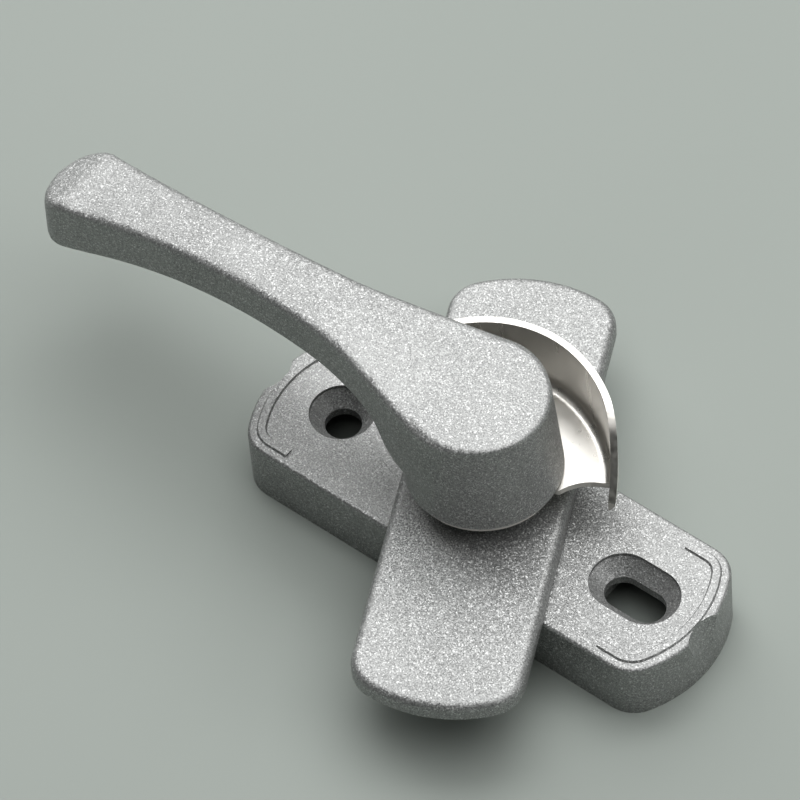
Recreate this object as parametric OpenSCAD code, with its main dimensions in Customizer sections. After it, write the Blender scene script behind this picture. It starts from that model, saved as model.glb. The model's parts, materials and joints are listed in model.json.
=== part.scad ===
// Crescent sash lock with a turning screw cover, in millimetres.
// Origin: spindle axis where it meets the mounting face.
// +X runs along the base towards the slotted hole, +Y towards the keeper, +Z out of the sash.

/* [Base plate] */
// Length of the base casting over its rounded ends
base_l = 74; // [72:0.5:90]
// Width of the base casting
base_w = 23.8; // [23.5:0.1:30]
// Height of the base casting
base_h = 10; // [9.6:0.1:14]
// Radius of the arc that ends the casting
end_r = 19; // [14:0.5:40]
// Radius of the casting's four corners
corner_r = 5.1; // [3:0.1:7]
// Thickness of the side wall
side_wall = 2.2; // [1.5:0.1:3]
// Thickness of the top wall
top_wall = 2.6; // [1.8:0.1:3]
// Rounding of the top edge
base_edge = 0.6; // [0.2:0.1:1]

/* [Fixing holes] */
// Distance between the round hole and the slotted hole
hole_pitch = 50.6; // [50:0.1:52]
// Diameter of the screw holes
screw_d = 5.2; // [4:0.1:5.6]
// Diameter of the countersink at the surface
sink_d = 9.3; // [8:0.1:10]
// Straight depth at the top of the countersink
sink_lip = 0.6; // [0.2:0.1:1]
// How far the screw can shift along the slot
slot_travel = 4.1; // [2:0.1:5]
// Width of the thickened pads around the screw holes
pad_wall = 2.2; // [1.5:0.1:2.4]
// How far the pads reach below the top wall
pad_h = 1.4; // [0.8:0.1:3]

/* [Locating ribs] */
// Height of the ribs that catch the cover
rib_h = 0.3; // [0.2:0.05:0.6]
// Width of the ribs
rib_w = 1.5; // [1:0.1:2]
// Slope of the ribs' walls, as the width that they lose on each side
rib_draft = 0.2; // [0.1:0.05:0.4]
// Ledge outside the ribs, where the cover's skirt comes down
ledge_w = 1.25; // [1:0.05:1.5]
// Half length of the bare stretch between the two ribs
rib_start = 26.8; // [24:0.1:29]
// Width of the pry notch at each end
notch_w = 7; // [5:0.1:8]
// How far the pry notch runs down the end wall
notch_drop = 6; // [3:0.5:7]

/* [Screw cover] */
// Length of the cover
cover_l = 73.2; // [70:0.1:76]
// Width of the cover
cover_w = 23.8; // [22:0.1:25]
// Thickness of the cover over its skirt
cover_h = 2.7; // [2.4:0.1:3.2]
// Radius of the cover's end arcs
cover_end_r = 21; // [16:0.5:40]
// Radius of the cover's corners
cover_corner_r = 5.5; // [3:0.1:7]
// Thickness of the cover's top
cover_top = 1.6; // [1.2:0.1:2]
// Width of the skirt under the cover's rim
skirt_w = 1.1; // [0.8:0.1:1.2]
// Rounding of the cover's top edge
cover_edge = 1.3; // [0.4:0.1:1.4]
// Angle of the cover's long axis as it stands
cover_angle = 115.5; // [100:0.5:125]

/* [Centre boss and spindle] */
// Radius of the boss that the cover turns on
boss_r = 6.6; // [6.2:0.1:7]
// Height of the boss top above the mounting face
boss_top = 16.3; // [15.4:0.1:17]
// Radius of the spindle
spindle_r = 4; // [3.6:0.1:4.2]
// Wall of the spindle bush
bush_wall = 1; // [0.8:0.1:1.2]
// Thickness of the bush flange
bush_flange = 0.6; // [0.4:0.1:1]
// Side of the spindle's square ends
square_s = 5.6; // [5:0.1:5.6]
// Length of the square inside the lever
square_reach = 10; // [7:0.5:13]
// Wire thickness of the cover's spring
wire_d = 0.9; // [0.6:0.1:1]
// Turns of the cover's spring
wire_turns = 2.25; // [1.5:0.25:2.5]

/* [Crescent cam] */
// Thickness of the pressed sheet
sheet_t = 1; // [0.8:0.05:1.4]
// Radius of the disc under the hub
disc_r = 10.3; // [10.2:0.1:11.5]
// Inner radius of the wall where it holds the keeper
dwell_r = 16.1; // [15.4:0.1:18]
// Extra radius of the wall at its leading tip
draw_in = 2.4; // [1:0.1:3]
// Height of the wall above the disc
wall_h = 10.8; // [8:0.1:12]
// Inner radius of the bend between disc and wall
bend_r = 1.4; // [0.5:0.1:1.6]
// Angle of the leading tip
tip_angle = 13; // [8:1:20]
// Angle where the draw-in ends and the dwell begins
dwell_angle = 80; // [70:1:90]
// Angle where the wall ends
tail_angle = 150; // [135:1:151]

/* [Lever] */
// Radius of the hub at its foot
hub_r = 11; // [10:0.1:11.2]
// Radius of the hub at its top
hub_top_r = 9.9; // [9.4:0.1:10.4]
// Height of the hub
hub_h = 16.2; // [14:0.1:18]
// Reach of the lever from the spindle to its tip
lever_l = 74.8; // [60:0.1:85]
// Half width of the arm at its waist
waist_w = 4.45; // [3.4:0.05:5]
// Extra half width at the tip
tip_flare = 1.7; // [0.5:0.1:3]
// Extra half width where the arm runs into the hub
root_flare = 2.2; // [1.5:0.1:2.4]
// Rounding of the arm's lower edges where it meets the hub
root_round = 3.6; // [1:0.1:4]
// Radius of the arched top of the arm
top_arc_r = 187; // [150:1:300]
// Radius of the arched underside of the arm
under_arc_r = 107; // [95:1:200]
// Thickness of the arm at the crest of its arch
arm_t = 7.6; // [6:0.1:8.2]
// Rounding along the arm's edges
arm_edge = 1.2; // [0.5:0.1:1.4]
// Rounding under the tip
tip_edge = 3; // [1:0.1:3.4]

/* [Detent] */
// Side of the detent block
detent_s = 11.5; // [10:0.1:12]
// Corner radius of the detent block
detent_corner = 1.5; // [1:0.1:2.5]
// Thickness of the detent block
detent_t = 3.1; // [2.4:0.1:3.4]
// Thickness of the leaf springs
leaf_t = 0.6; // [0.4:0.05:0.8]
// Length of the leaf springs
leaf_l = 34; // [30:0.5:36]
// Thickness of the back plate
back_t = 0.8; // [0.5:0.1:1]

/* [Screws and washers] */
// Thread diameter of the retaining screw
screw_m = 3.9; // [3:0.1:4]
// Shank length of the retaining screw
screw_l = 9; // [6:0.5:12]
// Head height of the retaining screw
head_h = 1.5; // [1:0.1:1.7]
// Thickness of the plain and lock washers
washer_t = 0.6; // [0.4:0.05:0.7]
// Thread diameter of the back plate's screws
plate_screw_d = 2.4; // [2:0.1:2.6]
// Shank length of the back plate's screws
plate_screw_l = 4; // [2.5:0.5:4.5]

/* [Hidden] */

// Clearances
run_gap = 0.05;
seat_gap = 0.1;
slip_gap = 0.02;
free_gap = 0.2;
eps = 0.01;

// Heights up the spindle, from the mounting face
ceiling_z = base_h - top_wall;
bush_foot_z = ceiling_z - 0.9;
shoulder_z = bush_foot_z - free_gap;
detent_z = shoulder_z - detent_t;
washer_z = detent_z - washer_t;
lock_washer_z = washer_z - washer_t;
head_z = lock_washer_z - head_h;
flange_z = boss_top + bush_flange;
disc_z = flange_z + run_gap;
hub_z = disc_z + sheet_t;
hub_top_z = hub_z + hub_h;
cover_z = base_h + rib_h + seat_gap;
cover_top_z = cover_z + cover_h;

// Radii around the spindle
bush_r = spindle_r + run_gap + bush_wall;
cover_bore_r = boss_r + run_gap;
cover_ring_r = cover_bore_r + 2.4;
washer_r = 4.4;
plate_hole_r = washer_r + 3 * free_gap;

// Fixing holes
hole_x = hole_pitch / 2;
screw_r = screw_d / 2;
sink_r = sink_d / 2;
pad_r = screw_r + pad_wall;
sink_depth = sink_r - screw_r;

// Detent and its leaf springs
leaf_y = detent_s / 2 + seat_gap + leaf_t / 2;
leaf_w = detent_t - 2 * seat_gap;
leaf_z = detent_z + seat_gap;
post_x = leaf_l / 2 - 1.5;
post_l = 2.4;
post_w = 3.6;
plate_top_z = leaf_z - 0.7;
plate_z = plate_top_z - back_t;
plate_boss_x = 12;
plate_boss_r = 2.3;
plate_half_l = leaf_l / 2 + 1.2;
plate_half_w = base_w / 2 - side_wall - free_gap;
plate_corner_r = 2;
plate_head_r = 2.1;
plate_head_h = 0.9;
web_t = 1.4;
web_x = plate_half_l + free_gap + web_t / 2;

// Crescent: the draw-in arc leaves the dwell arc tangentially
tip_turn = dwell_angle - tip_angle;
tip_r = dwell_r + draw_in;
draw_k = (tip_r * tip_r - dwell_r * dwell_r) / (2 * (dwell_r - tip_r * cos(tip_turn)));
draw_r = dwell_r + draw_k;
draw_turn = asin(tip_r * sin(tip_turn) / draw_r);
wall_top_z = hub_z + wall_h;
cut_round = 7;
cut_slope = 55;
cut_start = 5.5;
cut_reach = 16;
cut_face_angle = tip_angle + 17;
mouth_r = 7.2;
mouth_at = 17.75;
mouth_angle = 1.3;
tail_mouth_angle = tail_angle + 13.7;

// Lever
crest_x = -21;
crest_z = hub_top_z + 1.5;
under_crest_x = crest_x - 6;
waist_x = -42;
root_x = -26;
root_span = 26;
tip_round_r = 5.6;
ridge_x = 5.2 - lever_l;
ridge_fall = 0.42;
side_draft = 0.25;
crown = 0.25;
root_fillet = 5.2;
root_growth_l = 22;
root_depth = 0.75 * (root_round - arm_edge);
arm_start_x = -2;

// Points of an arc about a centre
function arc(centre, r, from, to, steps) =
  [for (i = [0:steps]) centre + r * [cos(from + (to - from) * i / steps), sin(from + (to - from) * i / steps)]];

// One half of an outline with straight sides, arced ends and rounded corners
function end_outline(l, w, er, cr) =
  let (
    end_x = l / 2 - er,
    corner_y = w / 2 - cr,
    corner_x = end_x + sqrt((er - cr) * (er - cr) - corner_y * corner_y),
    turn = asin(corner_y / (er - cr))
  )
  concat(
    arc([corner_x, -corner_y], cr, -90, -turn, 8),
    arc([end_x, 0], er, -turn * 7 / 8, turn * 7 / 8, 14),
    arc([corner_x, corner_y], cr, turn, 90, 8)
  );

// Whole outline of the base or the cover, drawn in by an inset
module plate_outline(l, w, er, cr, inset = 0) {
  half = end_outline(l - 2 * inset, w - 2 * inset, er - inset, max(cr - inset, 0.4));
  polygon(concat(half, [for (p = half) -p]));
}

// Slab with that outline and a rounded top edge
module soft_slab(l, w, er, cr, h, edge) {
  steps = 5;
  hull() {
    linear_extrude(h - edge) plate_outline(l, w, er, cr);
    for (i = [1:steps]) {
      turn = 90 * i / steps;
      linear_extrude(h - edge + edge * sin(turn)) plate_outline(l, w, er, cr, edge * (1 - cos(turn)));
    }
  }
}

// Upright tube or pin stretched along X
module stadium(r, travel, h) {
  for (side = [-1, 1])
    translate([side * travel / 2, 0, 0]) cylinder(r = r, h = h, $fn = 64);
  translate([-travel / 2, -r, 0]) cube([travel, 2 * r, h]);
}

// Countersunk screw hole, stretched along X by its travel
module screw_hole(travel) {
  side_line = [
    [screw_r, -1],
    [screw_r, base_h - sink_lip - sink_depth],
    [sink_r, base_h - sink_lip],
    [sink_r, base_h + 1]
  ];
  for (side = travel > 0 ? [-1, 1] : [0])
    translate([side * travel / 2, 0, 0]) rotate_extrude($fn = 64)
      polygon(concat([[0, -1]], side_line, [[0, base_h + 1]]));
  if (travel > 0)
    translate([-travel / 2, 0, 0]) rotate([90, 0, 90]) linear_extrude(travel)
      polygon(concat(side_line, [for (i = [3:-1:0]) [-side_line[i][0], side_line[i][1]]]));
}

// Raised U-shaped ribs that the cover's skirt drops around
module locating_ribs() {
  rise = rib_h + eps;
  outer = [base_l - 2 * ledge_w, base_w - 2 * ledge_w];
  inner = outer - [2 * rib_w, 2 * rib_w];
  narrowing = [1 - 2 * rib_draft / outer.x, 1 - 2 * rib_draft / outer.y];
  widening = [1 + 2 * rib_draft / inner.x, 1 + 2 * rib_draft / inner.y];
  translate([0, 0, base_h - eps]) difference() {
    linear_extrude(rise, scale = narrowing) plate_outline(base_l, base_w, end_r, corner_r, ledge_w);
    linear_extrude(rise, scale = widening) plate_outline(base_l, base_w, end_r, corner_r, ledge_w + rib_w);
    cube([2 * rib_start, base_w, 3 * rise], center = true);
  }
}

// Scoop in the end wall for a screwdriver's tip
module pry_notch() {
  depth = ledge_w;
  scoop_r = (notch_w * notch_w / 4 + depth * depth) / (2 * depth);
  translate([base_l / 2 - depth + scoop_r, 0, base_h]) rotate([0, -atan(depth / notch_drop), 0])
    cylinder(r = scoop_r, h = 3 * base_h, center = true, $fn = 96);
}

// Slotted post that holds one end of a leaf spring
module spring_post() {
  difference() {
    translate([-post_l / 2, -post_w / 2, plate_top_z]) cube([post_l, post_w, ceiling_z - plate_top_z + eps]);
    translate([-post_l, -leaf_t / 2 - slip_gap, plate_top_z - 1])
      cube([2 * post_l, leaf_t + 2 * slip_gap, leaf_z + leaf_w - plate_top_z + 1 + slip_gap]);
  }
}

// Die-cast base: hollow underneath, with pads, posts and the centre boss
module base_plate() {
  color("silver") difference() {
    union() {
      difference() {
        soft_slab(base_l, base_w, end_r, corner_r, base_h, base_edge);
        translate([0, 0, -1]) linear_extrude(ceiling_z + 1)
          plate_outline(base_l, base_w, end_r, corner_r, side_wall);
      }
      locating_ribs();
      translate([0, 0, ceiling_z]) cylinder(r = boss_r, h = boss_top - ceiling_z, $fn = 96);
      translate([0, 0, bush_foot_z]) cylinder(r = boss_r + 1, h = ceiling_z - bush_foot_z + eps, $fn = 96);
      translate([-hole_x, 0, ceiling_z - pad_h]) cylinder(r = pad_r, h = pad_h + eps, $fn = 64);
      translate([hole_x, 0, ceiling_z - pad_h]) stadium(pad_r, slot_travel, pad_h + eps);
      for (side = [-1, 1]) {
        translate([side * plate_boss_x, 0, plate_top_z])
          cylinder(r = plate_boss_r, h = ceiling_z - plate_top_z + eps, $fn = 48);
        translate([side * web_x - web_t / 2, side_wall - base_w / 2 - eps, plate_top_z])
          cube([web_t, base_w - 2 * side_wall + 2 * eps, ceiling_z - plate_top_z + eps]);
        for (face = [-1, 1])
          translate([side * post_x, face * leaf_y, 0]) spring_post();
      }
    }
    translate([0, 0, -1]) cylinder(r = bush_r + slip_gap, h = boss_top + 2, $fn = 96);
    translate([-hole_x, 0, 0]) screw_hole(0);
    translate([hole_x, 0, 0]) screw_hole(slot_travel);
    for (side = [-1, 1]) {
      translate([side * plate_boss_x, 0, plate_top_z - 1])
        cylinder(r = plate_screw_d / 2 + slip_gap, h = ceiling_z - plate_top_z + 0.6, $fn = 48);
      rotate([0, 0, side > 0 ? 0 : 180]) pry_notch();
    }
  }
}

// Flanged bush that the spindle turns in
module spindle_bush() {
  color("ivory") difference() {
    union() {
      translate([0, 0, bush_foot_z]) cylinder(r = bush_r, h = boss_top - bush_foot_z + eps, $fn = 96);
      translate([0, 0, boss_top]) cylinder(r = boss_r, h = bush_flange, $fn = 96);
    }
    translate([0, 0, bush_foot_z - 1])
      cylinder(r = spindle_r + run_gap, h = flange_z - bush_foot_z + 2, $fn = 96);
  }
}

// Turning cover: thin top, skirt round the rim and a ring round the boss that rests on the base
module cover_plate() {
  skirt_h = cover_h - cover_top;
  color("silver") translate([0, 0, cover_z]) rotate([0, 0, cover_angle]) difference() {
    union() {
      difference() {
        soft_slab(cover_l, cover_w, cover_end_r, cover_corner_r, cover_h, cover_edge);
        translate([0, 0, -1]) linear_extrude(skirt_h + 1)
          plate_outline(cover_l, cover_w, cover_end_r, cover_corner_r, skirt_w);
      }
      translate([0, 0, -rib_h]) cylinder(r = cover_ring_r, h = rib_h + skirt_h + eps, $fn = 96);
      for (side = [-1, 1])
        translate([side * cover_l / 4 - web_t / 2, skirt_w - cover_w / 2 - eps, 0])
          cube([web_t, cover_w - 2 * skirt_w + 2 * eps, skirt_h + eps]);
    }
    translate([0, 0, -rib_h - 1]) cylinder(r = cover_bore_r, h = rib_h + cover_h + 2, $fn = 96);
  }
}

// Light coil spring that presses the cover down on the base
module cover_spring() {
  coil_r = boss_r + wire_d / 2 + free_gap;
  low_z = cover_top_z + wire_d / 2 + seat_gap;
  high_z = disc_z - wire_d / 2 - free_gap;
  per_turn = 24;
  around = 8;
  steps = round(per_turn * wire_turns);
  points = [for (i = [0:steps]) let (turn = 360 * wire_turns * i / steps, z = low_z + (high_z - low_z) * i / steps)
    for (j = [0:around - 1]) let (r = coil_r + wire_d / 2 * cos(360 * j / around))
      [r * cos(turn), r * sin(turn), z + wire_d / 2 * sin(360 * j / around)]];
  sides = [for (i = [0:steps - 1]) for (j = [0:around - 1]) let (k = (j + 1) % around)
    [i * around + j, i * around + k, (i + 1) * around + k, (i + 1) * around + j]];
  ends = [[for (j = [0:around - 1]) around - 1 - j], [for (j = [0:around - 1]) steps * around + j]];
  color("gray") polyhedron(points = points, faces = concat(sides, ends), convexity = 6);
}

// Section of the bent wall: bend at the foot, then straight up
module wall_section(r) {
  foot = [r - bend_r, hub_z + bend_r];
  polygon(concat(
    arc(foot, bend_r, -90, 0, 6),
    [[r, wall_top_z], [r + sheet_t, wall_top_z]],
    arc(foot, bend_r + sheet_t, 0, -90, 6)
  ));
}

// Area between the disc and the foot of the wall
module cam_web() {
  foot_r = dwell_r - bend_r + eps;
  far = 3 * dwell_r;
  circle(r = disc_r, $fn = 96);
  intersection() {
    circle(r = foot_r, $fn = 128);
    polygon([[0, 0], far * [cos(dwell_angle), sin(dwell_angle)],
      far * [cos((dwell_angle + tail_angle) / 2), sin((dwell_angle + tail_angle) / 2)],
      far * [cos(tail_angle), sin(tail_angle)]]);
  }
  intersection() {
    rotate([0, 0, dwell_angle]) translate([-draw_k, 0]) circle(r = foot_r + draw_k, $fn = 128);
    polygon([[0, 0], far * [cos(tip_angle), sin(tip_angle)],
      far * [cos(dwell_angle + eps), sin(dwell_angle + eps)]]);
  }
}

// Pressed crescent: disc, web and upright wall that draws the keeper in
module crescent_cam() {
  color("gainsboro") difference() {
    union() {
      translate([0, 0, disc_z]) linear_extrude(sheet_t) difference() {
        cam_web();
        rotate([0, 0, mouth_angle]) translate([mouth_at, 0]) circle(r = mouth_r, $fn = 96);
        rotate([0, 0, tail_mouth_angle]) translate([mouth_at, 0]) circle(r = mouth_r, $fn = 96);
      }
      rotate([0, 0, dwell_angle]) rotate_extrude(angle = tail_angle - dwell_angle, $fn = 128)
        wall_section(dwell_r);
      rotate([0, 0, dwell_angle]) translate([-draw_k, 0, 0]) rotate([0, 0, -draw_turn])
        rotate_extrude(angle = draw_turn, $fn = 128) wall_section(draw_r);
    }
    // The mouth also cuts away the bend, up to the inner side of the wall
    translate([0, 0, disc_z - 1]) linear_extrude(1 + sheet_t + bend_r) intersection() {
      rotate([0, 0, mouth_angle]) translate([mouth_at, 0]) circle(r = mouth_r, $fn = 96);
      rotate([0, 0, dwell_angle]) translate([-draw_k, 0]) circle(r = draw_r - slip_gap, $fn = 128);
    }
    // Sloping end of the wall at the leading tip
    rotate([0, 0, cut_face_angle]) translate([disc_r, 0, 0]) rotate([90, 0, 90]) linear_extrude(dwell_r)
      polygon(concat(
        arc([cut_start, wall_top_z - cut_round], cut_round, 90, 90 + cut_slope, 8),
        [[-cut_reach, wall_top_z - cut_reach * tan(cut_slope)], [-cut_reach, wall_top_z + 1]],
        [[cut_start, wall_top_z + 1]]
      ));
    translate([0, 0, disc_z - 1]) linear_extrude(sheet_t + 2)
      square(square_s + 2 * slip_gap, center = true);
  }
}

// Half width of the arm's top along its length
function arm_half_w(x) =
  let (
    body = waist_w + tip_flare * pow((x - waist_x) / 27, 2)
      + root_flare * (1 - cos(180 * min(1, max(0, x - root_x) / root_span))) / 2,
    into_tip = min(1, max(0, (tip_round_r - lever_l - x) / tip_round_r))
  )
  body * sqrt(max(0.003, 1 - into_tip * into_tip));

// Height of the arm's top: arched, level with the hub at the root, falling away at the tip
function arm_top(x) =
  x > crest_x
  ? hub_top_z + (crest_z - hub_top_z) * (1 - cos(180 * min(1, max(0, (arm_start_x - x) / (arm_start_x - crest_x))))) / 2
  : crest_z - pow(x - crest_x, 2) / (2 * top_arc_r) - ridge_fall * max(0, ridge_x - x);

// Height of the arm's underside: arched, with a fillet down the hub's round side
function arm_under(x, y) =
  let (into_hub = min(1, max(0, (hub_r + root_fillet - norm([x, y])) / root_fillet)))
  crest_z - arm_t - pow(x - under_crest_x, 2) / (2 * under_arc_r)
    - root_fillet * (1 - sqrt(1 - into_hub * into_hub)) - root_depth * near_root(x);

// Share from 0 along the arm to 1 at the hub, for what grows towards the root
function near_root(x) =
  (1 - cos(180 * min(1, max(0, (x + hub_r + root_growth_l) / root_growth_l)))) / 2;

// Radius of the arm's lower edges
function low_edge(x) =
  min(arm_edge + (root_round - arm_edge) * near_root(x), 0.5 * arm_half_w(x));

// How far a rounding of that radius has drawn in near the tip
function end_round(x, r) =
  let (into_end = max(0, r - lever_l - x) / r)
  r * (1 - sqrt(1 - into_end * into_end));

// Closed section of the arm: crowned top, drafted sides, rounded edges
function arm_section(x) =
  let (
    w = arm_half_w(x),
    edge = min(arm_edge, 0.9 * w),
    top = arm_top(x) - 0.6 * end_round(x, arm_edge),
    lift = end_round(x, tip_edge),
    foot_w = w + side_draft,
    low = min(low_edge(x), 0.9 * w),
    foot_in = foot_w - low,
    corner_z = arm_under(x, foot_in) + lift + crown + low,
    under_steps = 8
  )
  [for (p = concat(
    arc([foot_in, corner_z], low, -90, 0, 5),
    arc([w - edge, top - crown - edge], edge, 0, 90, 4),
    [[(w - edge) / 2, top - crown / 4], [0, top], [-(w - edge) / 2, top - crown / 4]],
    arc([edge - w, top - crown - edge], edge, 90, 180, 4),
    arc([-foot_in, corner_z], low, 180, 270, 5),
    [for (i = [1:under_steps - 1]) let (across = 2 * i / under_steps - 1)
      [across * foot_in, arm_under(x, across * foot_in) + lift + crown * across * across]]
  )) [x, p[0], p[1]]];

// Skin over a row of sections with the same number of points
module loft(sections) {
  n = len(sections[0]);
  last = (len(sections) - 1) * n;
  sides = [for (i = [0:len(sections) - 2]) for (j = [0:n - 1]) let (k = (j + 1) % n)
    [i * n + j, (i + 1) * n + j, (i + 1) * n + k, i * n + k]];
  ends = [[for (j = [0:n - 1]) j], [for (j = [0:n - 1]) last + n - 1 - j]];
  polyhedron(points = [for (s = sections) each s], faces = concat(sides, ends), convexity = 4);
}

// Die-cast lever: drafted hub, arched arm and square socket for the spindle
module lever_handle() {
  tip_turns = [85, 70, 55, 40, 25, 12];
  body_steps = 34;
  neck_x = tip_round_r - lever_l;
  xs = concat(
    [for (turn = tip_turns) neck_x - tip_round_r * sin(turn)],
    [for (i = [0:body_steps]) neck_x + (arm_start_x - neck_x) * i / body_steps]
  );
  hub_edge = 0.8;
  color("silver") difference() {
    union() {
      translate([0, 0, hub_z]) rotate_extrude($fn = 96) polygon(concat(
        [[0, 0], [hub_r - 0.3, 0], [hub_r, 0.3]],
        arc([hub_top_r - hub_edge, hub_h - hub_edge], hub_edge, 3, 90, 5),
        [[0, hub_h]]
      ));
      loft([for (x = xs) arm_section(x)]);
    }
    translate([0, 0, hub_z - 1]) linear_extrude(square_reach + 1)
      square(square_s + 2 * slip_gap, center = true);
  }
}

// Steel spindle: round journal with a square at each end
module spindle() {
  color("gray") difference() {
    union() {
      translate([0, 0, shoulder_z]) cylinder(r = spindle_r, h = disc_z - shoulder_z, $fn = 96);
      translate([0, 0, (detent_z + seat_gap + hub_z + square_reach - free_gap) / 2])
        cube([square_s, square_s, hub_z + square_reach - free_gap - detent_z - seat_gap], center = true);
    }
    translate([0, 0, lock_washer_z]) cylinder(r = screw_m / 2 + slip_gap, h = screw_l + 1, $fn = 48);
  }
}

// Square block whose flats rest against the leaf springs
module detent_block() {
  color("gray") translate([0, 0, detent_z]) difference() {
    union() {
      translate([-detent_s / 2, detent_corner - detent_s / 2, 0])
        cube([detent_s, detent_s - 2 * detent_corner, detent_t]);
      translate([detent_corner - detent_s / 2, -detent_s / 2, 0])
        cube([detent_s - 2 * detent_corner, detent_s, detent_t]);
      for (sx = [-1, 1])
        for (sy = [-1, 1])
          translate([sx * (detent_s / 2 - detent_corner), sy * (detent_s / 2 - detent_corner), 0])
            cylinder(r = detent_corner, h = detent_t, $fn = 48);
    }
    translate([0, 0, -1]) linear_extrude(detent_t + 2) square(square_s + 2 * slip_gap, center = true);
  }
}

// Flat ring on the retaining screw
module washer_ring(z, r) {
  translate([0, 0, z]) difference() {
    cylinder(r = r, h = washer_t, $fn = 64);
    translate([0, 0, -1]) cylinder(r = screw_m / 2 + seat_gap, h = washer_t + 2, $fn = 64);
  }
}

module plain_washer() {
  color("gray") washer_ring(washer_z, washer_r);
}

// Split spring washer under the screw head
module lock_washer() {
  color("dimgray") difference() {
    washer_ring(lock_washer_z, washer_r - 0.6);
    translate([0, -0.4, lock_washer_z - 1]) cube([washer_r + 1, 0.8, washer_t + 2]);
  }
}

// Pan head screw with a cross recess, seen from below
module pan_screw(head_r, head_height, shank_r, shank_l) {
  recess_l = 1.2 * head_r;
  difference() {
    union() {
      cylinder(r = head_r, h = head_height, $fn = 64);
      translate([0, 0, head_height - eps]) cylinder(r = shank_r, h = shank_l + eps, $fn = 48);
    }
    for (turn = [0, 90])
      rotate([0, 0, turn]) translate([-recess_l / 2, -head_r / 10, -1])
        cube([recess_l, head_r / 5, 1 + head_height / 2]);
  }
}

module retaining_screw() {
  color("gray") translate([0, 0, head_z]) pan_screw(washer_r - 0.6, head_h, screw_m / 2, screw_l);
}

// Flat spring strip between two slotted posts
module leaf_spring(face) {
  color("lightgray") translate([-leaf_l / 2, face * leaf_y - leaf_t / 2, leaf_z]) cube([leaf_l, leaf_t, leaf_w]);
}

module front_leaf_spring() {
  leaf_spring(-1);
}

module rear_leaf_spring() {
  leaf_spring(1);
}

// Thin plate that keeps the leaf springs in their posts
module back_plate() {
  color("gray") translate([0, 0, plate_z]) difference() {
    union() {
      translate([plate_corner_r - plate_half_l, -plate_half_w, 0])
        cube([2 * (plate_half_l - plate_corner_r), 2 * plate_half_w, back_t]);
      translate([-plate_half_l, plate_corner_r - plate_half_w, 0])
        cube([2 * plate_half_l, 2 * (plate_half_w - plate_corner_r), back_t]);
      for (sx = [-1, 1])
        for (sy = [-1, 1])
          translate([sx * (plate_half_l - plate_corner_r), sy * (plate_half_w - plate_corner_r), 0])
            cylinder(r = plate_corner_r, h = back_t, $fn = 48);
    }
    translate([0, 0, -1]) cylinder(r = plate_hole_r, h = back_t + 2, $fn = 64);
    for (side = [-1, 1])
      translate([side * plate_boss_x, 0, -1]) cylinder(r = plate_screw_d / 2 + seat_gap, h = back_t + 2, $fn = 48);
  }
}

// Two screws that hold the back plate
module back_plate_screws() {
  for (side = [-1, 1])
    color("gray") translate([side * plate_boss_x, 0, plate_z - plate_head_h])
      pan_screw(plate_head_r, plate_head_h, plate_screw_d / 2, plate_screw_l);
}

base_plate();
spindle_bush();
cover_plate();
cover_spring();
crescent_cam();
lever_handle();
spindle();
detent_block();
plain_washer();
lock_washer();
retaining_screw();
front_leaf_spring();
rear_leaf_spring();
back_plate();
back_plate_screws();
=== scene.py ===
import json
import math

import bmesh
import bpy
from mathutils import Matrix, Vector


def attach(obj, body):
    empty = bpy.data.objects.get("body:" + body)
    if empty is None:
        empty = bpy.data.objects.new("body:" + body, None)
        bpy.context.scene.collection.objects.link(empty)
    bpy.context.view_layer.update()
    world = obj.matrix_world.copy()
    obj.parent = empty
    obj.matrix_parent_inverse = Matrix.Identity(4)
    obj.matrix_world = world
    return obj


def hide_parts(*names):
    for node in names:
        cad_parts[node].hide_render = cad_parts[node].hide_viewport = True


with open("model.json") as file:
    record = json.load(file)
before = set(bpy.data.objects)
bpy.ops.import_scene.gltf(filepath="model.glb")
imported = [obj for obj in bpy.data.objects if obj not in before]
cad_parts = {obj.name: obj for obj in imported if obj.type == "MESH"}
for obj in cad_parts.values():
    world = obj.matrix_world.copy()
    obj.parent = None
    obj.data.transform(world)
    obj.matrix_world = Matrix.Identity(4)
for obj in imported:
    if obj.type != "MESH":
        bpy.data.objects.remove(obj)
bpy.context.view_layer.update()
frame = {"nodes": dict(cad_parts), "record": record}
MM = 0.001
BODY_OF = {
    name: body
    for body, names in frame["record"]["behaviour"]["bodies"].items()
    for name in names
}

# Paint and metal: flakes, sand grains and clouds per metre, and depths in metres
FLAKES = 6000.0
FLAKE_TILT = 0.34
SAND = 4600
CLOUDS = 90
SAND_DEPTH = 0.00008
MARK_DEPTH = 0.00003
PLASTIC_DEPTH = 0.00004

# Copies of the CAD pieces: what is welded, dropped or taken as flat
WELD = 0.01 * MM
SHORTEST_EDGE = 0.1 * MM
THINNEST_FACE = 0.02 * MM
FLAT_DEGREES = 0.6
SEAM_DEGREES = {"crescent_cam": 80}
SEAM_WIDTH_DEGREES = 0.08

# The hub's side and its rounded upper edge in mm
HUB_FOOT_R = 11
HUB_FOOT_Z = 18.25
HUB_DRAFT = 1.1 / 15.1
HUB_EDGE_Z = 33.35
HUB_EDGE_R = 9.1
HUB_ROUNDING = 0.8

# The arm's side next to the hub, as half its width, and its rounded upper edge in mm
ARM_FOOT_HALF = 10.6
ARM_FOOT_Z = 22
ARM_DRAFT = 0.0233
ARM_EDGE_Z = 32.7
ARM_EDGE_HALF = 9.15
ARM_ROUNDING = 1.2

# The photograph's camera, found from the outlines in it
CAMERA_TURN, CAMERA_HEIGHT, CAMERA_ROLL = 42.93, 53.17, -5.74
CAMERA_DISTANCE = 843.1
CAMERA_AIM = (-20.1, 6.33, 10.0)
FOCAL_PIXELS = 6099.3
PHOTO_PIXELS = 800
SENSOR_WIDTH = 36


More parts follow.
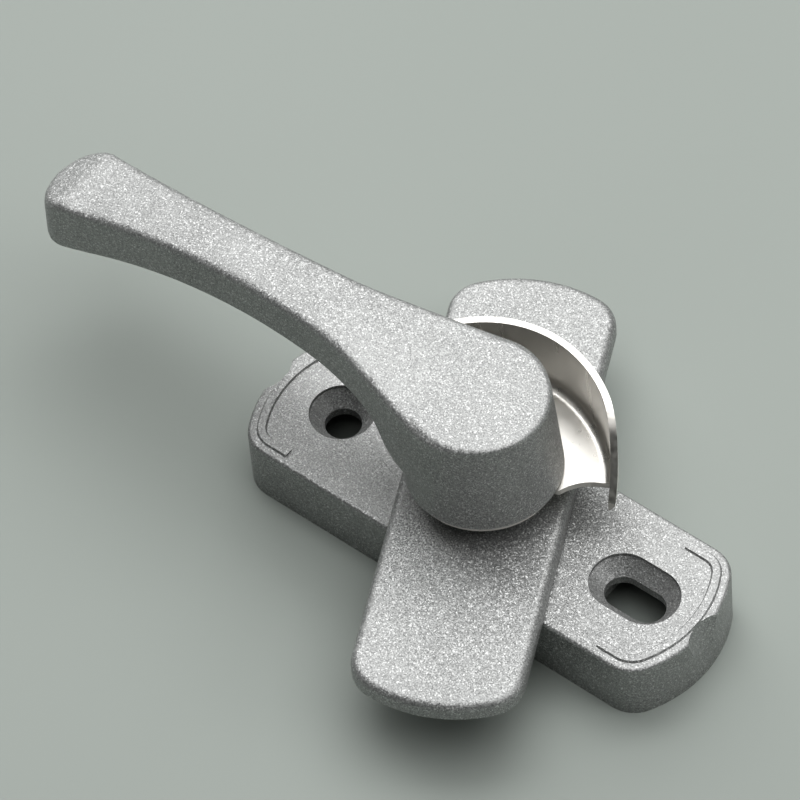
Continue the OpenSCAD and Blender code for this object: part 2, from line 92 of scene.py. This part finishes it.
# Shader nodes
def material(name):
    mat = bpy.data.materials.new(name)
    mat.use_nodes = True
    tree = mat.node_tree
    return mat, tree, tree.nodes["Principled BSDF"]


def node(tree, kind, values=None, **fields):
    made = tree.nodes.new(kind)
    for key, value in fields.items():
        setattr(made, key, value)
    for key, value in (values or {}).items():
        made.inputs[key].default_value = value
    return made


def place(tree, stretch=(1, 1, 1)):
    """Object coordinates, stretched along the axes"""
    mapping = node(tree, "ShaderNodeMapping")
    mapping.inputs["Scale"].default_value = stretch
    tree.links.new(node(tree, "ShaderNodeTexCoord").outputs["Object"], mapping.inputs["Vector"])
    return mapping.outputs["Vector"]


def noise(tree, vector, scale, detail=2.0, rough=0.5):
    made = node(tree, "ShaderNodeTexNoise", {"Scale": scale, "Detail": detail, "Roughness": rough})
    tree.links.new(vector, made.inputs["Vector"])
    return made.outputs["Fac"]


def ramp(tree, value, low, high, out_low=0.0, out_high=1.0):
    """The value spread from low..high to out_low..out_high and held at both ends"""
    limits = {"From Min": low, "From Max": high, "To Min": out_low, "To Max": out_high}
    made = node(tree, "ShaderNodeMapRange", limits)
    tree.links.new(value, made.inputs["Value"])
    return made.outputs["Result"]


def mix(tree, share, first, second):
    """Two colours, each a tuple or the output of a node"""
    made = node(tree, "ShaderNodeMix", data_type="RGBA")
    tree.links.new(share, made.inputs[0])
    for socket, value in ((made.inputs[6], first), (made.inputs[7], second)):
        if hasattr(value, "links"):
            tree.links.new(value, socket)
        else:
            socket.default_value = (*value, 1.0)
    return made.outputs[2]


def toned(colour, times):
    return tuple(min(1.0, channel * times) for channel in colour)


def bump(tree, shader, height, strength, distance):
    made = node(tree, "ShaderNodeBump", {"Strength": strength, "Distance": distance})
    tree.links.new(height, made.inputs["Height"])
    tree.links.new(made.outputs["Normal"], shader.inputs["Normal"])
    return made


def painted_edge_highlight(tree, low=0.51, high=0.6, most=0.3):
    """0 on flats and up to most along outer edges: a painted highlight that lightens the edges"""
    edges = node(tree, "ShaderNodeNewGeometry").outputs["Pointiness"]
    return ramp(tree, edges, low, high, 0.0, most)


def flake_normal(tree, colour):
    """The surface's direction, tilted a little by each flake's own colour"""
    tilt = node(tree, "ShaderNodeVectorMath", operation="MULTIPLY_ADD")
    tree.links.new(colour, tilt.inputs[0])
    tilt.inputs[1].default_value = (FLAKE_TILT,) * 3
    tilt.inputs[2].default_value = (-FLAKE_TILT / 2,) * 3
    lean = node(tree, "ShaderNodeVectorMath", operation="ADD")
    tree.links.new(node(tree, "ShaderNodeNewGeometry").outputs["Normal"], lean.inputs[0])
    tree.links.new(tilt.outputs[0], lean.inputs[1])
    straight = node(tree, "ShaderNodeVectorMath", operation="NORMALIZE")
    tree.links.new(lean.outputs[0], straight.inputs[0])
    return straight.outputs[0]


def paint(name, base=(0.43, 0.435, 0.43), highlit_edges=False):
    """Silver paint: flakes that lie at slightly different tilts, over a sand texture"""
    mat, tree, shader = material(name)
    at = place(tree)
    flakes = node(tree, "ShaderNodeTexVoronoi", {"Scale": FLAKES, "Randomness": 1.0})
    tree.links.new(at, flakes.inputs["Vector"])
    split = node(tree, "ShaderNodeSeparateColor")
    tree.links.new(flakes.outputs["Color"], split.inputs["Color"])
    sand = noise(tree, at, SAND, 1.5, 0.6)
    clouds = noise(tree, at, CLOUDS, 3.0)
    light = toned(base, 1.75)
    body = mix(tree, ramp(tree, sand, 0.36, 0.64), toned(base, 0.55), base)
    body = mix(tree, ramp(tree, clouds, 0.3, 0.8, 0.0, 0.25), body, toned(base, 1.2))
    body = mix(tree, ramp(tree, split.outputs["Red"], 0.8, 1.0, 0.0, 0.8), body, light)
    # Painted highlight: the paint turns lighter along the outer edges
    if highlit_edges:
        body = mix(tree, painted_edge_highlight(tree), body, light)
    tree.links.new(body, shader.inputs["Base Color"])
    shader.inputs["Metallic"].default_value = 0.6
    rough = ramp(tree, split.outputs["Green"], 0.0, 1.0, 0.38, 0.54)
    tree.links.new(rough, shader.inputs["Roughness"])
    relief = bump(tree, shader, sand, 0.45, SAND_DEPTH)
    tree.links.new(flake_normal(tree, flakes.outputs["Color"]), relief.inputs["Normal"])
    return mat


def metal(name, base, rough, scale=900.0, stretch=(1, 1, 1), strength=0.15):
    """Plated or plain steel with faint marks, which stretch can draw out along one axis"""
    mat, tree, shader = material(name)
    marks = noise(tree, place(tree, stretch), scale, 2.0, 0.45)
    tone = noise(tree, place(tree), 140, 3.0)
    tree.links.new(mix(tree, tone, toned(base, 0.84), base), shader.inputs["Base Color"])
    shader.inputs["Metallic"].default_value = 1.0
    marked = ramp(tree, marks, 0.15, 0.85, rough * 0.75, rough * 1.3)
    tree.links.new(marked, shader.inputs["Roughness"])
    bump(tree, shader, marks, strength, MARK_DEPTH)
    return mat


def plastic(name, base):
    mat, tree, shader = material(name)
    at = place(tree)
    tone = noise(tree, at, 300, 3.0)
    tree.links.new(mix(tree, tone, toned(base, 0.9), base), shader.inputs["Base Color"])
    tree.links.new(ramp(tree, tone, 0.3, 0.7, 0.4, 0.55), shader.inputs["Roughness"])
    bump(tree, shader, noise(tree, at, 2500, 2.0), 0.1, PLASTIC_DEPTH)
    return mat


silver = paint("silver_paint")
# A lighter copy of the silver paint for the rounded edges: a painted highlight
silver_painted_edge_highlight = paint("silver_paint_with_painted_edge_highlight", (0.5, 0.505, 0.5))
silver_cast = paint("silver_paint_on_lever", highlit_edges=True)
nickel = metal("nickel_plate", (0.80, 0.78, 0.74), 0.3, 520.0, (1, 1, 0.12), 0.03)
sheared = metal("sheared_edge", (0.74, 0.72, 0.68), 0.42, 1500.0, strength=0.6)
steel = metal("plain_steel", (0.55, 0.55, 0.54), 0.35)
zinc = metal("zinc_plate", (0.66, 0.66, 0.66), 0.3)
spring_steel = metal("spring_steel", (0.45, 0.46, 0.48), 0.28)
acetal = plastic("bush_acetal", (0.8, 0.79, 0.74))
FINISH = {
    "base_plate": silver,
    "cover_plate": silver,
    "lever_handle": silver_cast,
    "crescent_cam": nickel,
    "spindle_bush": acetal,
    "cover_spring": spring_steel,
    "front_leaf_spring": spring_steel,
    "rear_leaf_spring": spring_steel,
    "spindle": steel,
    "detent_block": steel,
    "plain_washer": zinc,
    "lock_washer": zinc,
    "retaining_screw": zinc,
    "back_plate": zinc,
    "back_plate_screws": zinc,
}
for name, finish in FINISH.items():
    mesh = frame["nodes"][name].data
    mesh.materials.clear()
    mesh.materials.append(finish)


# Pieces that stand for a node: its own form with softened edges
def cast_copy(name, new_name):
    """The node's form as a closed mesh in an object of its own"""
    form = bmesh.new()
    form.from_mesh(frame["nodes"][name].data)
    bmesh.ops.remove_doubles(form, verts=form.verts, dist=WELD)
    if any(not edge.is_manifold for edge in form.edges):
        clear_seam(form, SEAM_DEGREES[name])
    flat = math.radians(FLAT_DEGREES)
    bmesh.ops.dissolve_limit(form, angle_limit=flat, verts=form.verts, edges=form.edges)
    mesh = bpy.data.meshes.new(new_name)
    form.to_mesh(mesh)
    form.free()
    if "custom_normal" in mesh.attributes:
        mesh.attributes.remove(mesh.attributes["custom_normal"])
    mesh.materials.append(FINISH[name])
    piece = bpy.data.objects.new(new_name, mesh)
    bpy.context.scene.collection.objects.link(piece)
    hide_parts(name)
    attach(piece, BODY_OF[name])
    return piece


def clear_seam(form, angle):
    """Takes out the faces inside the sheet where two arcs of the wall meet"""
    def on_seam(vert):
        turned = math.degrees(math.atan2(vert.co.y, vert.co.x))
        return abs(turned - angle) < SEAM_WIDTH_DEGREES

    inner = [face for face in form.faces if all(on_seam(vert) for vert in face.verts)]
    bmesh.ops.delete(form, geom=inner, context="FACES")
    bmesh.ops.remove_doubles(form, verts=form.verts, dist=SHORTEST_EDGE)
    bmesh.ops.dissolve_degenerate(form, dist=THINNEST_FACE, edges=form.edges)


def round_edges(piece, width, edge_highlight_and_finish, angle=28, segments=3):
    """Edges sharper than the angle get a rounding of this width in mm"""
    # The rounding gets its own material: lighter paint as a painted highlight on the castings, the
    # sheared finish on the crescent
    piece.data.materials.append(edge_highlight_and_finish)
    bevel = piece.modifiers.new("edges", "BEVEL")
    bevel.width = width * MM
    bevel.segments = segments
    bevel.limit_method = "ANGLE"
    bevel.angle_limit = math.radians(angle)
    bevel.material = len(piece.data.materials) - 1
    bevel.harden_normals = True
    piece.data.shade_smooth()
    piece.modifiers.new("normals", "WEIGHTED_NORMAL")


def melt_edges(piece, voxel, rounds):
    """A cast form, where every edge and corner runs together a little"""
    remesh = piece.modifiers.new("melt", "REMESH")
    remesh.mode = "VOXEL"
    remesh.voxel_size = voxel * MM
    remesh.use_smooth_shade = True
    smooth = piece.modifiers.new("smooth", "SMOOTH")
    smooth.factor = 0.5
    smooth.iterations = rounds


def lift_tip(piece, start=-64, end=-74.8, lift=1.6):
    """The arm's last stretch droops less towards its end"""
    for vert in piece.data.vertices:
        along = max(0.0, (vert.co.x / MM - start) / (end - start))
        vert.co.z += lift * MM * along * along


def half_chord(offset, radius):
    """Half the chord of a circle at an offset from its centre"""
    return math.sqrt(max(0, radius * radius - offset * offset))


def hub_radius(z):
    if z < HUB_EDGE_Z:
        return HUB_FOOT_R - HUB_DRAFT * (z - HUB_FOOT_Z)
    return HUB_EDGE_R + half_chord(z - HUB_EDGE_Z, HUB_ROUNDING)


def arm_half_width(z):
    if z < ARM_EDGE_Z:
        return ARM_FOOT_HALF - ARM_DRAFT * (z - ARM_FOOT_Z)
    return ARM_EDGE_HALF + half_chord(z - ARM_EDGE_Z, ARM_ROUNDING)


def swell_hub(piece, root=-2, reach=10, lowest=21, nearest=3):
    """The hub's sides next to the arm come out to the arm's sides, so that no step is left"""
    for vert in piece.data.vertices:
        x, y, z = vert.co / MM
        if z < lowest or abs(y) < nearest or not root - 0.01 < x < root + reach:
            continue
        hub_y = half_chord(root, hub_radius(z))
        on_arm = x < root + 0.01 and abs(y) > hub_y + 0.03
        if not on_arm:
            share = (1 + math.cos(math.pi * (x - root) / reach)) / 2
            vert.co.y += math.copysign(max(0, arm_half_width(z) - hub_y) * share * MM, y)


def shear_edges(piece, wall_r=15, least=0.3):
    """The sheet's cut edges that slope down to the leading tip get the sheared finish"""
    piece.data.materials.append(sheared)
    for face in piece.data.polygons:
        outward = face.center.to_2d().normalized()
        along = abs(outward.x * face.normal.y - outward.y * face.normal.x)
        if along > least and face.center.to_2d().length > wall_r * MM:
            face.material_index = 1


base = cast_copy("base_plate", "base_casting")
# The rounded edges of the base and cover take the lighter paint, a painted highlight
round_edges(base, 0.2, silver_painted_edge_highlight)
cover = cast_copy("cover_plate", "screw_cover")
round_edges(cover, 0.15, silver_painted_edge_highlight)
cam = cast_copy("crescent_cam", "crescent")
shear_edges(cam)
round_edges(cam, 0.1, sheared, 60, 2)
lever = cast_copy("lever_handle", "lever")
lift_tip(lever)
swell_hub(lever)
melt_edges(lever, 0.3, 3)

# Floor
floor_mat, floor_tree, floor_shader = material("floor")
floor_tone = noise(floor_tree, place(floor_tree), 9, 2.0)
floor_colour = mix(floor_tree, floor_tone, (0.33, 0.36, 0.335), (0.36, 0.39, 0.365))
floor_tree.links.new(floor_colour, floor_shader.inputs["Base Color"])
floor_shader.inputs["Roughness"].default_value = 0.8
floor_form = bmesh.new()
bmesh.ops.create_grid(floor_form, x_segments=2, y_segments=2, size=2)
floor_mesh = bpy.data.meshes.new("floor")
floor_form.to_mesh(floor_mesh)
floor_form.free()
floor_mesh.materials.append(floor_mat)
floor = bpy.data.objects.new("floor", floor_mesh)
bpy.context.scene.collection.objects.link(floor)

# Camera at the photograph's place
turn, height, roll = (
    math.radians(angle) for angle in (CAMERA_TURN, CAMERA_HEIGHT, CAMERA_ROLL)
)
back = Vector((
    math.sin(turn) * math.cos(height),
    -math.cos(turn) * math.cos(height),
    math.sin(height),
))
level = Vector((math.cos(turn), math.sin(turn), 0))
upright = back.cross(level)
right = math.cos(roll) * level + math.sin(roll) * upright
up = math.cos(roll) * upright - math.sin(roll) * level
aim = Vector(CAMERA_AIM) * MM
camera = bpy.data.objects.new("camera", bpy.data.cameras.new("camera"))
bpy.context.scene.collection.objects.link(camera)
facing = Matrix((right, up, back)).transposed().to_4x4()
camera.matrix_world = Matrix.Translation(aim + back * CAMERA_DISTANCE * MM) @ facing
camera.data.sensor_width = SENSOR_WIDTH
camera.data.lens = SENSOR_WIDTH * FOCAL_PIXELS / PHOTO_PIXELS
camera.data.clip_start = 0.05
bpy.context.scene.camera = camera


# Soft studio light
def area_light(name, spot, size, power):
    """A rectangle at the spot that faces the origin"""
    data = bpy.data.lights.new(name, "AREA")
    data.shape = "RECTANGLE"
    data.size, data.size_y = size
    data.energy = power
    lamp = bpy.data.objects.new(name, data)
    bpy.context.scene.collection.objects.link(lamp)
    lamp.location = spot
    lamp.rotation_mode = "QUATERNION"
    lamp.rotation_quaternion = (-Vector(spot)).to_track_quat("-Z", "Y")


area_light("back_light", (-0.58, 0.53, 0.97), (1.4, 1.25), 8.8)
area_light("left_light", (-1.0, 0.4, 0.42), (0.8, 0.6), 1.9)
area_light("top_light", (0.15, 0.15, 1.0), (1.3, 1.3), 9.5)
area_light("right_light", (0.8, 0.35, 0.4), (0.4, 0.4), 0.9)
world = bpy.data.worlds.new("world")
world.use_nodes = True
background = world.node_tree.nodes["Background"]
background.inputs["Color"].default_value = (0.6, 0.64, 0.62, 1)
background.inputs["Strength"].default_value = 0.03
bpy.context.scene.world = world
bpy.context.scene.view_settings.view_transform = "Standard"
bpy.context.scene.view_settings.look = "Medium High Contrast"
